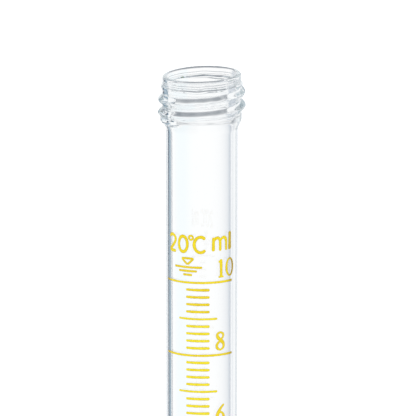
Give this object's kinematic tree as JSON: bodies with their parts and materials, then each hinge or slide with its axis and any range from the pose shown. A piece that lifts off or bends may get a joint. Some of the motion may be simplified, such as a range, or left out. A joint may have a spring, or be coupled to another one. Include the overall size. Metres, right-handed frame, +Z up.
{
  "type": "graduated screw neck test tube",
  "caption": "Clear round-bottom glass test tube with a moulded screw neck and a printed volume scale on one side.",
  "frame": {"origin": "pole of the round bottom, on the tube's axis", "axes": "+Z up the tube's axis to the mouth; the scale and its lettering face -Y"},
  "size_m": [0.0182, 0.0182, 0.124],
  "materials": {
    "clear_glass": "clear, fire-polished",
    "yellow_enamel": "fired ceramic enamel, satin"
  },
  "bodies": {
    "root": {"fine_marks_01_to_02_ml": "yellow_enamel", "fine_marks_02_to_03_ml": "yellow_enamel", "fine_marks_03_to_04_ml": "yellow_enamel", "fine_marks_04_to_05_ml": "yellow_enamel", "fine_marks_05_to_06_ml": "yellow_enamel", "fine_marks_06_to_07_ml": "yellow_enamel", "fine_marks_07_to_08_ml": "yellow_enamel", "fine_marks_08_to_09_ml": "yellow_enamel", "fine_marks_09_to_10_ml": "yellow_enamel", "glass_tube": "clear_glass", "half_mark_01_ml": "yellow_enamel", "half_mark_03_ml": "yellow_enamel", "half_mark_05_ml": "yellow_enamel", "half_mark_07_ml": "yellow_enamel", "half_mark_09_ml": "yellow_enamel", "level_symbol": "yellow_enamel", "numeral_02": "yellow_enamel", "numeral_04": "yellow_enamel", "numeral_06": "yellow_enamel", "numeral_08": "yellow_enamel", "numeral_10": "yellow_enamel", "ring_mark_02_ml": "yellow_enamel", "ring_mark_04_ml": "yellow_enamel", "ring_mark_06_ml": "yellow_enamel", "ring_mark_08_ml": "yellow_enamel", "ring_mark_10_ml": "yellow_enamel", "temperature_legend": "yellow_enamel", "unit_legend": "yellow_enamel"}
  },
  "joints": []
}
